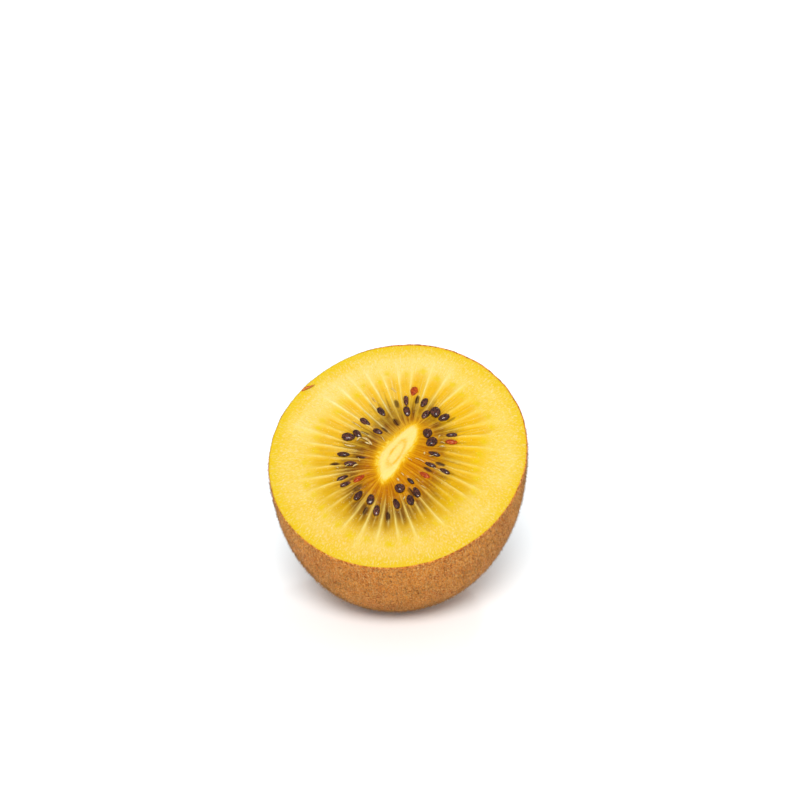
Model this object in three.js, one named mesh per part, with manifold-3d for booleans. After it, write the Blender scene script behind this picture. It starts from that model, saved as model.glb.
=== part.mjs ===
// A golden kiwi fruit cut across its middle: one half, lying on its skin with the cut face tipped up and to
// the front. Millimetres, +Z up, +X to the right and -Y to the front. The origin is on the surface that it
// rests on, under the middle of the half. The half is one grown piece, so it is one mesh: skin, flesh, core
// and the seeds set in the flesh are fused, and the mesh's groups give each of them its own material.
import * as THREE from "three";
import { mergeVertices } from "three/addons/utils/BufferGeometryUtils.js";
import Module from "manifold-3d";

// The cut face, as a slightly oval outline. Turns are in degrees, anticlockwise from the right of the face.
const FACE_LONG = 51.6;
const FACE_SHORT = 48.4;
const FACE_LONG_TURN = 49;
const RIM_BEVEL = 0.25;

// The skin, from the cut to the stem end. A shoulder of 2 would be an ellipse, and more is boxier.
const DEPTH = 38.4;
const SHOULDER = 2.65;
const TILT = 39.3; // the cut face's lean to the front, from lying flat
const FOOT_CUT = 0.5; // how much of the skin's curve is pressed flat where it rests

// The stem end: a shallow dimple with the scar of the stalk standing in it.
const DIMPLE_RADIUS = 7;
const DIMPLE_DEPTH = 0.7;
const SCAR_RADIUS = 1.9;
const SCAR_HEIGHT = 0.9;
const SCAR_TOP = 0.7; // share of the scar's radius that is flat on top
const SCAR_SURROUND = 1.6; // radius of the skin ring outside the scar, in scar radii

// The core is a long oval, and the rays run out from it square to its edge.
const CORE_LONG = 14.4;
const CORE_SHORT = 5.7;
const CORE_TURN = 63;
const CORE_RISE = 0.35;
const CORE_FLAT = 0.6; // share of the core, from its middle, that is drawn as one flat ring
const CORE_STEP = 0.035; // share of the way to the rim in which the core drops down to the flesh

// Rays are the pale walls between the seed chambers. Their relief is strongest a little way from the core.
const RAYS = 38;
const RAY_RISE = 0.3;
const RAY_PEAK = 0.22;
const RAY_END = 0.72;
const CHAMBER_SINK = 0.2;

// Seeds that the cut left standing in the face, as [direction in degrees, distance in mm] from its middle.
const SEED_SIZES = {
  broad: { length: 2.4, width: 1.5, height: 1.1 },
  edge: { length: 2.4, width: 1.0, height: 1.3 },
  round: { length: 2.1, width: 1.9, height: 1.5 },
};
const SEEDS = {
  broad: [
    [80, 14.3], [68, 12.3], [112, 9.9], [82, 9.4], [60, 10.0], [43, 11.8], [135, 9.6], [132, 6.2],
    [162, 10.3], [154, 9.0], [197, 9.5], [234, 12.1], [246, 11.6], [255, 13.4], [271, 11.4], [285, 10.9],
    [294, 9.7],
  ],
  edge: [
    [85, 11.9], [22, 11.0], [14, 10.5], [358, 7.0], [337, 6.9], [336, 10.0], [317, 7.3], [293, 6.9],
    [220, 9.4], [210, 12.0], [217, 12.2], [184, 10.5],
  ],
  round: [[53, 11.5], [38, 7.0], [20, 6.8], [275, 8.1]],
};
const SEED_STANDS = 0.3; // share of a seed's height that is above the flesh
const SEED_TAPER = 0.5; // how much narrower a seed is towards the core, and wider away from it

// Fineness of the mesh.
const STEPS_A_RAY = 4;
const TURNS = RAYS * STEPS_A_RAY;
const FACE_RINGS = [0, CORE_STEP, 0.11, 0.22, 0.34, 0.46, 0.58, RAY_END, 0.86, 1];
const SKIN_RINGS = 10;
const SEED_SIDES = 6;
const SEED_RINGS = 4;
const SAME_PLACE = 1e-4; // corners nearer to each other than this are one corner

const CORE_FOCUS = Math.sqrt(CORE_LONG ** 2 - CORE_SHORT ** 2) / 2;
const coreTurn = THREE.MathUtils.degToRad(CORE_TURN);
const tilt = THREE.MathUtils.degToRad(TILT);

const wasm = await Module();
wasm.setup();

// Rises smoothly from 0 at low to 1 at high.
const ease = (low, high, x) => THREE.MathUtils.smoothstep(x, low, high);

// Distance from the middle of the face to its edge, in the direction of angle (radians).
function rimRadius(angle) {
  const turned = angle - THREE.MathUtils.degToRad(FACE_LONG_TURN);
  return 1 / Math.hypot((2 * Math.cos(turned)) / FACE_LONG, (2 * Math.sin(turned)) / FACE_SHORT);
}

// A place on one of the ovals that share the core's two foci, from the core's edge (share 0) outwards (share
// 1). Ray is the angle round them, so lines of equal ray leave the core square to its edge.
function ovalPlace(share, ray) {
  const long = THREE.MathUtils.lerp(CORE_LONG, FACE_LONG, share) / 2;
  const short = Math.sqrt(long ** 2 - CORE_FOCUS ** 2);
  const place = new THREE.Vector2(long * Math.cos(ray), short * Math.sin(ray));
  return place.rotateAround(new THREE.Vector2(), coreTurn);
}

// A place on the cut face: the ovals, drawn in towards the outline of the rim the further out they are.
function facePlace(share, ray) {
  const last = ovalPlace(1, ray);
  const stretch = rimRadius(last.angle()) / last.length();
  return ovalPlace(share, ray).multiplyScalar(THREE.MathUtils.lerp(1, stretch, share ** 2));
}

// Height of the cut face over its plane: ridges along the rays, hollows in the chambers between them.
function faceRelief(share, ray) {
  const wave = 0.5 + 0.5 * Math.cos(RAYS * ray);
  const strength = ease(0, RAY_PEAK, share) * (1 - ease(RAY_PEAK, RAY_END, share));
  const step = CORE_RISE * (1 - ease(0, CORE_STEP, share));
  return step + strength * (RAY_RISE * wave ** 2 - CHAMBER_SINK * (1 - wave));
}

// A place on the skin. Fall is 0 at the cut and 1 at the stem end, and angle is the direction from the axis.
function skinPlace(fall, angle) {
  const bend = (fall * Math.PI) / 2;
  const out = Math.cos(bend) ** (2 / SHOULDER) * rimRadius(angle);
  const down = DEPTH * Math.sin(bend) ** (2 / SHOULDER);
  const dimple = DIMPLE_DEPTH * (1 - ease(0, DIMPLE_RADIUS, out));
  const scar = SCAR_HEIGHT * (1 - ease(SCAR_TOP * SCAR_RADIUS, SCAR_RADIUS, out));
  return new THREE.Vector3(out * Math.cos(angle), out * Math.sin(angle), dimple - scar - down);
}

// Closes a stack of rings, all with as many points, between a first and a last single point.
function ringsToGeometry(first, rings, last) {
  const places = [first, ...rings.flat(), last];
  const count = rings[0].length;
  const at = (ring, i) => 1 + ring * count + (i % count);
  const faces = [];
  for (let i = 0; i < count; i++) {
    faces.push(0, at(0, i), at(0, i + 1));
    for (let ring = 0; ring + 1 < rings.length; ring++) {
      faces.push(at(ring, i), at(ring + 1, i), at(ring + 1, i + 1));
      faces.push(at(ring, i), at(ring + 1, i + 1), at(ring, i + 1));
    }
    faces.push(at(rings.length - 1, i), places.length - 1, at(rings.length - 1, i + 1));
  }
  const geometry = new THREE.BufferGeometry().setFromPoints(places);
  geometry.setIndex(faces);
  return geometry;
}

// The half without its seeds: the core, the rayed face, the bevel at the rim and the skin to the stem end.
function halfGeometry() {
  const turns = Array.from({ length: TURNS }, (_, i) => (i / TURNS) * 2 * Math.PI);
  const inner = turns.map((ray) => {
    const edge = facePlace(0, ray).multiplyScalar(CORE_FLAT);
    return new THREE.Vector3(edge.x, edge.y, CORE_RISE);
  });
  const face = FACE_RINGS.map((share) =>
    turns.map((ray) => {
      const place = facePlace(share, ray);
      if (share === 1) place.multiplyScalar(1 - RIM_BEVEL / place.length());
      return new THREE.Vector3(place.x, place.y, faceRelief(share, ray));
    }),
  );
  const angles = turns.map((ray) => facePlace(1, ray).angle());
  const cut = angles.map((angle) => skinPlace(0, angle).setZ(-RIM_BEVEL));
  const falls = Array.from({ length: SKIN_RINGS }, (_, i) => (i + 1) / (SKIN_RINGS + 1));
  const scarFalls = [SCAR_SURROUND, 1, SCAR_TOP].map((radii) => {
    const share = (2 * radii * SCAR_RADIUS) / Math.sqrt(FACE_LONG * FACE_SHORT);
    return (Math.acos(share ** (SHOULDER / 2)) * 2) / Math.PI;
  });
  const skin = [...falls, ...scarFalls].map((fall) => angles.map((angle) => skinPlace(fall, angle)));
  const top = new THREE.Vector3(0, 0, CORE_RISE);
  return ringsToGeometry(top, [inner, ...face, cut, ...skin], skinPlace(1, 0));
}

// The height of the flesh at a place on the face, for setting a seed into it.
function fleshHeight(place) {
  const turned = place.clone().rotateAround(new THREE.Vector2(), -coreTurn);
  const toFoci = [CORE_FOCUS, -CORE_FOCUS].map((focus) => Math.hypot(turned.x - focus, turned.y));
  const long = (toFoci[0] + toFoci[1]) / 2;
  const short = Math.sqrt(long ** 2 - CORE_FOCUS ** 2);
  const share = (2 * long - CORE_LONG) / (FACE_LONG - CORE_LONG);
  return faceRelief(share, Math.atan2(turned.y / short, turned.x / long));
}

// One seed: a flattened drop with its point towards the core, lying along its ray and sunk into the flesh.
function seedGeometry([direction, distance], size) {
  const angle = THREE.MathUtils.degToRad(direction);
  const place = new THREE.Vector2(Math.cos(angle), Math.sin(angle)).multiplyScalar(distance);
  const focus = new THREE.Vector2(CORE_FOCUS, 0).rotateAround(new THREE.Vector2(), coreTurn);
  const along = place.clone().sub(focus).normalize().add(place.clone().add(focus).normalize());
  const drop = new THREE.SphereGeometry(0.5, SEED_SIDES, SEED_RINGS).rotateZ(-Math.PI / 2);
  const spots = drop.attributes.position;
  for (let i = 0; i < spots.count; i++) {
    const [x, y, z] = [spots.getX(i), spots.getY(i), spots.getZ(i)];
    spots.setXYZ(i, x * size.length, y * size.width * (1 + SEED_TAPER * x), z * size.height);
  }
  const height = fleshHeight(place) + (SEED_STANDS - 0.5) * size.height;
  return drop.rotateZ(along.angle()).translate(place.x, place.y, height);
}

// A closed three.js geometry as a manifold-3d solid.
function toSolid(geometry) {
  const bare = geometry.clone().deleteAttribute("normal").deleteAttribute("uv");
  const merged = mergeVertices(bare, SAME_PLACE);
  return new wasm.Manifold(
    new wasm.Mesh({
      numProp: 3,
      vertProperties: merged.attributes.position.array,
      triVerts: new Uint32Array(merged.index.array),
    }),
  );
}

const MATERIALS = {
  skin: new THREE.MeshStandardMaterial({ name: "skin", color: 0xb87a3d, roughness: 0.85, metalness: 0 }),
  flesh: new THREE.MeshStandardMaterial({ name: "flesh", color: 0xf2c632, roughness: 0.35, metalness: 0 }),
  core: new THREE.MeshStandardMaterial({ name: "core", color: 0xfbe48c, roughness: 0.45, metalness: 0 }),
  seeds: new THREE.MeshStandardMaterial({ name: "seeds", color: 0x2a1815, roughness: 0.3, metalness: 0 }),
};

// Which material a triangle shows, from the mean of its corners and from whether it came from a seed.
function materialAt(middle, fromSeed) {
  if (fromSeed) return "seeds";
  const place = new THREE.Vector2(middle.x, middle.y);
  const pastRim = place.length() > rimRadius(place.angle()) - RIM_BEVEL;
  if (pastRim || middle.z < -CHAMBER_SINK - SAME_PLACE) return "skin";
  place.rotateAround(new THREE.Vector2(), -coreTurn);
  return Math.hypot((2 * place.x) / CORE_LONG, (2 * place.y) / CORE_SHORT) < 1 ? "core" : "flesh";
}

// The fused solid back as a three.js geometry, its triangles sorted into one group for each material.
function toGeometry(solid, bodyId) {
  const mesh = solid.getMesh();
  const corners = Array.from({ length: mesh.numVert }, (_, i) =>
    new THREE.Vector3().fromArray(mesh.vertProperties, i * mesh.numProp),
  );
  const names = Object.keys(MATERIALS);
  const sorted = names.map(() => []);
  mesh.runOriginalID.forEach((id, run) => {
    for (let i = mesh.runIndex[run]; i < mesh.runIndex[run + 1]; i += 3) {
      const triangle = [...mesh.triVerts.subarray(i, i + 3)];
      const middle = new THREE.Vector3();
      triangle.forEach((corner) => middle.addScaledVector(corners[corner], 1 / 3));
      sorted[names.indexOf(materialAt(middle, id !== bodyId))].push(...triangle);
    }
  });
  const geometry = new THREE.BufferGeometry().setFromPoints(corners);
  geometry.setIndex(sorted.flat());
  let start = 0;
  sorted.forEach((list, slot) => {
    geometry.addGroup(start, list.length, slot);
    start += list.length;
  });
  geometry.computeVertexNormals();
  return geometry;
}

// Fuses the seeds into the half and presses the skin flat where the half rests.
function kiwiHalf() {
  const body = toSolid(halfGeometry()).asOriginal();
  let solid = body;
  for (const [kind, places] of Object.entries(SEEDS))
    for (const place of places) solid = solid.add(toSolid(seedGeometry(place, SEED_SIZES[kind])));

  const lean = new THREE.Matrix4().makeRotationX(tilt);
  const standing = halfGeometry().applyMatrix4(lean);
  standing.computeBoundingBox();
  const lowest = standing.boundingBox.min.z;
  const ground = new THREE.BoxGeometry(4 * DEPTH, 4 * DEPTH, 4 * DEPTH);
  ground.translate(0, 0, lowest + FOOT_CUT - 2 * DEPTH).applyMatrix4(lean.clone().invert());
  const cutter = toSolid(ground);

  const geometry = toGeometry(solid.subtract(cutter), body.originalID());
  const mesh = new THREE.Mesh(geometry, Object.values(MATERIALS));
  mesh.name = "kiwi_half";
  mesh.rotation.x = tilt;
  return mesh;
}

const fruit = new THREE.Group();
const half = kiwiHalf();
fruit.add(half);
const extent = new THREE.Box3().setFromObject(fruit, true);
const middle = extent.getCenter(new THREE.Vector3());
half.position.set(-middle.x, -middle.y, -extent.min.z);

export default fruit;
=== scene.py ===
import bpy
import numpy as np
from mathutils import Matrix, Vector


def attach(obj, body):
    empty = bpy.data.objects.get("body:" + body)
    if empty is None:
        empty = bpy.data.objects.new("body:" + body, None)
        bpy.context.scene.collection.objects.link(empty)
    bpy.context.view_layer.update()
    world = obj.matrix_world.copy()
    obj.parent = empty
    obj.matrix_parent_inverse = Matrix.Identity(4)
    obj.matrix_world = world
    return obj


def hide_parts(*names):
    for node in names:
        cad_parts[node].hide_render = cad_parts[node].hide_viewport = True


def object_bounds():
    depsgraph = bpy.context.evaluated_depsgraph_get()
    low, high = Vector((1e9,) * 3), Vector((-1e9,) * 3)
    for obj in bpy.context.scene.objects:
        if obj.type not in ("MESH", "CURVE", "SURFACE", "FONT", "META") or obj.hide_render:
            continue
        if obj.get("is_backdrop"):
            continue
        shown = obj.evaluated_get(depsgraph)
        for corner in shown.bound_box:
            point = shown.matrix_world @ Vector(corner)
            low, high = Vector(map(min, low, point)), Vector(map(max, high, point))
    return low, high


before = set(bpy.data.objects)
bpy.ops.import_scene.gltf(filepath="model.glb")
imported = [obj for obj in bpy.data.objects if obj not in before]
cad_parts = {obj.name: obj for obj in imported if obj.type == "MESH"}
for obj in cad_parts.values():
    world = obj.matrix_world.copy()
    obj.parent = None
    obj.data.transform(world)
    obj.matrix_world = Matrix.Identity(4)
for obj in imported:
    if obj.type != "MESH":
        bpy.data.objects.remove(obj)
cad_low, cad_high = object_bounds()

# The cut face
#
# The flesh of a golden kiwi fruit, sliced across its middle with a knife: a pale core, an amber
# zone round it, dozens of seed chambers with pale walls between them, and the bright outer flesh,
# all one grown body.

# Shapes are worked out in mm in the face's own frame, with the middle of the core at the origin, x
# to the right, y up the face and z out of it. placed() then leans them back and sets them down.
MM = 0.001
FACE_LONG, FACE_SHORT, FACE_LONG_TURN = 51.6, 48.4, np.radians(49)
DEPTH = 38.4  # from the cut to the stem end
SHOULDER = 2.65  # exponent of the outline seen from the side: 2 is an ellipse, and more is squarer
TILT = np.radians(39.3)  # the cut face's lean from level
CORE_LONG, CORE_SHORT, CORE_TURN = 14.4, 5.7, np.radians(63)
CORE_FOCUS = np.sqrt(CORE_LONG**2 - CORE_SHORT**2) / 2
DIMPLE_RADIUS, DIMPLE_DEPTH = 7.0, 0.7
SKIN_THICK = 0.42

# How far the walls, the core and so on stand out of the cut, and the chambers and pits sink below
# it, in mm.
WALL_RISE, CORE_RISE, FIBRE_RISE, FRINGE_RISE = 0.17, 0.3, 0.05, 0.1
GRAIN_RISE, BEAD_RISE, SWELL_RISE = 0.03, 0.07, 0.05
CHAMBER_SINK, PIT_SINK, RIM_SINK = 0.16, 0.16, 0.14
FLESH_TURNS, CORE_RINGS, FACE_RINGS, UNDER_RINGS = 646, 28, 116, 6
LAST_SHARE = 0.994  # the share at which the face ends and the flesh turns down inside the skin
RIM_WAVE = 0.07  # the knife's edge wanders in and out by this much round the rim, mm

# The walls between the seed chambers. Each row is one wall: its direction in degrees at WALL_MIDDLE
# of the way out, the degrees it drifts from the core to the rim, its strength, and the shares of
# the way out where it starts and ends. Then, for the chamber after it, where the gold ends, where
# the lemon tip lies, and how strong the pale streak along its middle is.
WALL_MIDDLE = 0.45
WALLS = np.array([
    [3, -7, 0.6, 0.22, 0.72, 0.60, 0.56, 0.1], [13, -7, 0.6, 0.2, 0.66, 0.70, 0.66, 0.0],
    [21.5, -3, 0.55, 0.2, 0.66, 0.71, 0.66, 0.0], [30.5, 3, 0.5, 0.12, 0.66, 0.67, 0.63, 0.1],
    [41, 1, 0.55, 0.28, 0.68, 0.62, 0.58, 0.2], [52, -5, 0.9, 0.25, 0.8, 0.65, 0.62, 0.2],
    [62.5, 1, 1.0, 0.22, 0.86, 0.65, 0.61, 0.1], [73, 3, 0.8, 0.25, 0.8, 0.68, 0.65, 0.1],
    [85, 1, 0.5, 0.35, 0.76, 0.64, 0.60, 0.1], [94, 4, 0.85, 0.22, 0.76, 0.62, 0.63, 0.3],
    [104, 5, 0.75, 0.2, 0.74, 0.58, 0.54, 0.1], [112.5, 5, 0.9, 0.15, 0.8, 0.6, 0.57, 0.3],
    [122, 4, 0.9, 0.2, 0.8, 0.55, 0.51, 0.1], [131, 3, 1.0, 0.04, 0.8, 0.6, 0.55, 0.1],
    [141, 4, 1.0, 0.15, 0.78, 0.55, 0.5, 0.5], [150, -1, 0.55, 0.08, 0.6, 0.6, 0.58, 0.1],
    [158.5, 0, 0.35, 0.3, 0.62, 0.62, 0.58, 0.0], [165, -4, 0.75, 0.25, 0.8, 0.6, 0.56, 0.1],
    [173.5, 0, 0.8, 0.12, 0.72, 0.6, 0.54, 0.1], [183, -7, 0.65, 0.15, 0.68, 0.57, 0.63, 0.2],
    [192, -1, 0.7, 0.25, 0.68, 0.52, 0.6, 0.1], [200, -8, 0.9, 0.06, 0.74, 0.52, 0.65, 0.1],
    [207.5, -1, 0.8, 0.28, 0.76, 0.52, 0.62, 0.1], [216.5, 0, 0.55, 0.3, 0.64, 0.5, 0.63, 0.3],
    [224.5, -1, 0.7, 0.26, 0.68, 0.5, 0.66, 0.0], [232, -2, 0.3, 0.3, 0.6, 0.53, 0.65, 0.2],
    [241.5, -5, 0.9, 0.22, 0.74, 0.55, 0.7, 0.8], [252, -2.5, 1.0, 0.22, 0.8, 0.57, 0.69, 0.45],
    [263, -4, 1.0, 0.16, 0.8, 0.55, 0.72, 0.8], [273, 5, 1.0, 0.14, 0.76, 0.54, 0.69, 0.7],
    [283.5, 7, 1.0, 0.16, 0.76, 0.54, 0.66, 0.3], [293, 5, 0.75, 0.2, 0.55, 0.5, 0.61, 0.3],
    [300.5, 8, 1.0, 0.18, 0.76, 0.52, 0.62, 0.2], [309, 8, 0.8, 0.18, 0.66, 0.5, 0.52, 0.3],
    [318.5, 0, 0.5, 0.28, 0.56, 0.53, 0.55, 0.1], [325.5, -3, 0.9, 0.2, 0.66, 0.6, 0.61, 0.0],
    [333.5, 0, 0.75, 0.12, 0.74, 0.58, 0.56, 0.2], [341.5, 5, 0.65, 0.15, 0.6, 0.54, 0.52, 0.1],
    [348, 0, 0.7, 0.22, 0.6, 0.52, 0.5, 0.1], [354.5, -8, 0.6, 0.24, 0.56, 0.55, 0.52, 0.1],
])
WALL_THIN, WALL_FAN = 0.1, 0.45  # half a wall's width at the core, and its gain on the way out, mm
TIP_LONG, TIP_WIDE = 0.032, 0.42  # half a lemon tip, as a share of the way out and of half its chamber
# The share where the grey jelly ends, and how much further out that is straight below the core.
GREY_END, GREY_FURTHER = 0.32, 0.24
# Directions on the face: where the grey is thinnest and darkest, and where the amber reaches furthest.
SPARED_WAY, DARKEST_WAY, AMBER_WAY = np.radians([135, 185, 300])

# Where the seeds lie: direction in degrees and distance in mm from the middle of the core, then
# length and width in mm, and how many degrees the seed is turned from its ray.
DARK_SEEDS = np.array([
    [85, 11.9, 2.3, 1.0, 4], [68, 12.3, 2.2, 1.25, -6], [112, 9.9, 2.3, 1.25, 8],
    [82, 9.4, 2.4, 1.35, 10], [60, 10.0, 2.2, 1.35, -4], [53, 11.5, 2.4, 2.0, 60],
    [43, 11.8, 2.3, 1.5, -12], [135, 9.6, 2.4, 1.2, 6], [132, 6.2, 2.1, 1.15, 12],
    [38, 7.0, 2.2, 1.8, 80], [20, 6.8, 2.4, 1.95, 40], [22, 11.0, 2.2, 0.95, -8],
    [162, 10.3, 2.7, 1.75, 16], [154, 9.0, 2.2, 1.3, -20], [358, 7.0, 2.4, 1.0, -4],
    [184, 10.5, 2.5, 1.05, 2], [197, 9.5, 2.4, 1.15, 0], [337, 6.9, 2.3, 0.95, 4],
    [336, 10.0, 2.2, 1.0, -6], [210, 12.0, 2.3, 0.9, 6], [217, 12.2, 2.2, 0.9, -4],
    [293, 6.9, 1.8, 0.8, 5], [275, 8.1, 2.1, 1.9, 30], [294, 9.7, 2.4, 1.3, -10],
    [234, 12.1, 2.4, 1.25, 6], [246, 11.6, 2.3, 1.5, 14], [285, 10.9, 2.4, 1.4, -8],
    [271, 11.4, 2.2, 1.25, 12], [255, 13.4, 2.4, 1.3, 8],
])
RED_SEEDS = np.array([
    [80, 14.3, 2.0, 1.5, -10], [14, 10.5, 2.4, 1.1, -8], [317, 7.3, 2.2, 1.1, 6],
    [220, 9.4, 2.4, 1.1, 10],
])
SUNK_SEEDS = np.array([
    [94, 11.0, 2.2, 1.0, 4], [75, 12.4, 2.4, 0.9, 0], [37, 12.6, 2.3, 0.6, 4],
    [95, 6.7, 2.2, 1.2, 8], [120, 5.7, 1.8, 0.6, 4], [148, 7.8, 1.9, 0.6, 4],
    [191, 7.4, 2.0, 0.6, 2], [194, 12.4, 2.0, 0.8, 0], [327, 7.0, 2.2, 0.8, 0],
    [343, 8.6, 2.2, 0.8, 4], [247, 14.3, 2.2, 0.9, 0], [265, 14.2, 2.2, 0.9, 4],
    [228, 11.0, 2.4, 1.0, 4], [288, 9.2, 2.2, 1.0, 0],
])

lattice = np.random.default_rng(11).uniform(-1, 1, (32, 32, 32))


def smooth(low, high, x):
    """Rises from 0 at low to 1 at high along the curve 3t^2 - 2t^3."""
    t = np.clip((x - low) / (high - low), 0, 1)
    return t * t * (3 - 2 * t)


def turn_by(x, y, angle):
    """x and y turned by an angle: x cos - y sin, and x sin + y cos."""
    return x * np.cos(angle) - y * np.sin(angle), x * np.sin(angle) + y * np.cos(angle)


def to_unit(vectors):
    """Vectors divided by their lengths."""
    return vectors / np.linalg.norm(vectors, axis=-1, keepdims=True)


def field(points, size):
    """A smooth random field, -1 to 1: random numbers at the corners of cells of a size, blended by
    3t^2 - 2t^3."""
    place = points / size
    cell = np.floor(place).astype(int)
    t = place - cell
    t = t * t * (3 - 2 * t)
    total = 0
    for corner in np.ndindex(2, 2, 2):
        weight = np.prod(np.where(corner, t, 1 - t), axis=-1)
        x, y, z = np.moveaxis((cell + corner) % len(lattice), -1, 0)
        total = total + weight * lattice[x, y, z]
    return total


def streaks(share, ray, around, outward):
    """The random field read on a cylinder of radius around, at the height share times outward, so
    that it runs in streaks along the rays."""
    return field(np.stack([around * np.cos(ray), around * np.sin(ray), outward * share], -1), 1.0)


def rim_radius(angle):
    """Radius of the oval rim in a direction, turned to the oval's long way: one over the length of
    (cos over half the long way, sin over half the short way)."""
    turned = angle - FACE_LONG_TURN
    return 1 / np.hypot(2 * np.cos(turned) / FACE_LONG, 2 * np.sin(turned) / FACE_SHORT)


def oval_axes(share):
    """Half the long way, between the core's and the face's by share, and half the short way of an
    oval that has the core's own foci: the root of half the long way squared less the focus
    squared."""
    long = (CORE_LONG + (FACE_LONG - CORE_LONG) * share) / 2
    return long, np.sqrt(long**2 - CORE_FOCUS**2)


def oval_place(share, ray):
    """A place on such an oval, turned with the core: half the long way times cos ray, and half the
    short way times sin ray. Share 0 is the core's edge and 1 an oval as long as the face."""
    long, short = oval_axes(share)
    return np.stack(turn_by(long * np.cos(ray), short * np.sin(ray), CORE_TURN), -1)


def face_place(share, ray):
    """A place on the cut: the oval's place, drawn in to the outline of the rim by the square of
    share."""
    last = oval_place(np.ones_like(share), ray)
    stretch = rim_radius(np.arctan2(last[..., 1], last[..., 0])) / np.hypot(last[..., 0], last[..., 1])
    return oval_place(share, ray) * (1 + (stretch - 1) * share**2)[..., None]


def skin_place(fall, angle):
    """A place on the outside: from the rim, fall 0, to the stem end, fall 1, the radius goes by cos
    and the depth by sin of fall quarter turns, each to the power 2 / SHOULDER, with a shallow
    dimple at the end."""
    bend = fall * np.pi / 2
    out = np.maximum(np.cos(bend), 0) ** (2 / SHOULDER) * rim_radius(angle)
    down = DEPTH * np.sin(bend) ** (2 / SHOULDER)
    dimple = DIMPLE_DEPTH * (1 - smooth(0, DIMPLE_RADIUS, out))
    return np.stack([out * np.cos(angle), out * np.sin(angle), dimple - down], -1)


def rim_wander(points):
    """Moves points near the rim in or out by a slow random field, less and less down to 3 mm below
    the cut."""
    flat = points * [1, 1, 0]
    move = RIM_WAVE * (field(flat, 2.6) + 0.5 * field(flat, 1.1)) * smooth(-3, 0, points[..., 2])
    out = flat / np.maximum(np.linalg.norm(flat, axis=-1, keepdims=True), 1)
    return points + out * move[..., None]


def lean(points):
    """Turns points about x by TILT: y becomes y cos - z sin, and z becomes y sin + z cos."""
    x, y, z = np.moveaxis(points, -1, 0)
    return np.stack([x, *turn_by(y, z, TILT)], -1)


# The leaned half is moved so that it is in the middle of the frame's box and as high as it.
outside = lean(skin_place(*np.meshgrid(np.linspace(0, 1, 200), np.linspace(0, 2 * np.pi, 720))))
low, high = outside.min((0, 1)), outside.max((0, 1))
cad_box = np.array([cad_low, cad_high]) / MM
set_down = np.array([*(cad_box.mean(0) - (low + high) / 2)[:2], cad_box[1, 2] - high[2]])


def placed(points, floor=0.0):
    """Leans points back and sets them down where the half lies, pressed flat at a height over the
    table."""
    points = lean(points) + set_down
    points[..., 2] = np.maximum(points[..., 2], floor)
    return points


def ring_faces(rings, count):
    """Faces of a stack of rings with a point at either end: quads between rings, triangles at the
    ends."""
    i = np.arange(count)
    j = (i + 1) % count
    at = 1 + np.arange(rings)[:, None] * count
    quads = np.stack([at[:-1] + i, at[1:] + i, at[1:] + j, at[:-1] + j], -1).reshape(-1, 4)
    first = np.stack([0 * i, 1 + i, 1 + j], -1)
    last = np.stack([at[-1] + i, 0 * i + 1 + rings * count, at[-1] + j], -1)
    return [quads, np.concatenate([first, last])]


def repeat_faces(faces, times, step):
    """The same faces for each of a number of like bodies, whose points follow each other step
    points apart."""
    shift = np.arange(times)[:, None, None] * step
    return [(f[None] + shift).reshape(-1, f.shape[1]) for f in faces]


def add_object(name, data):
    """An object of some data, linked into the scene."""
    made = bpy.data.objects.new(name, data)
    bpy.context.scene.collection.objects.link(made)
    return made


def make_piece(name, material, points, faces, attributes=None):
    """A mesh object from points in mm and arrays of faces, shaded smooth, with attributes, each a
    number or a vector at every point. It rides on the one body there is."""
    mesh = bpy.data.meshes.new(name)
    mesh.vertices.add(len(points))
    mesh.vertices.foreach_set("co", (points * MM).astype(np.float32).ravel())
    corners = np.concatenate([f.ravel() for f in faces])
    sizes = np.concatenate([np.full(len(f), f.shape[1]) for f in faces])
    mesh.loops.add(len(corners))
    mesh.loops.foreach_set("vertex_index", corners.astype(np.int32))
    mesh.polygons.add(len(sizes))
    mesh.polygons.foreach_set("loop_start", (np.cumsum(sizes) - sizes).astype(np.int32))
    mesh.polygons.foreach_set("use_smooth", np.ones(len(sizes), bool))
    for key, values in (attributes or {}).items():
        kind, field_name = ("FLOAT", "value") if values.ndim == 1 else ("FLOAT_VECTOR", "vector")
        data = mesh.attributes.new(key, kind, "POINT").data
        data.foreach_set(field_name, values.astype(np.float32).ravel())
    mesh.update(calc_edges=True)
    mesh.validate()
    mesh.materials.append(material)
    piece = add_object(name, mesh)
    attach(piece, "root")
    return piece


# The lamps that keep the table white overlight the cut face, so each colour is toned down by this.
TONE = 0.65


def colour(code):
    """An sRGB colour, six hexadecimal digits, as linear red, green and blue times TONE, alpha 1."""
    values = np.array([int(code[i : i + 2], 16) for i in (0, 2, 4)]) / 255
    return (*TONE * np.where(values > 0.04045, ((values + 0.055) / 1.055) ** 2.4, values / 12.92), 1.0)


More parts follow.
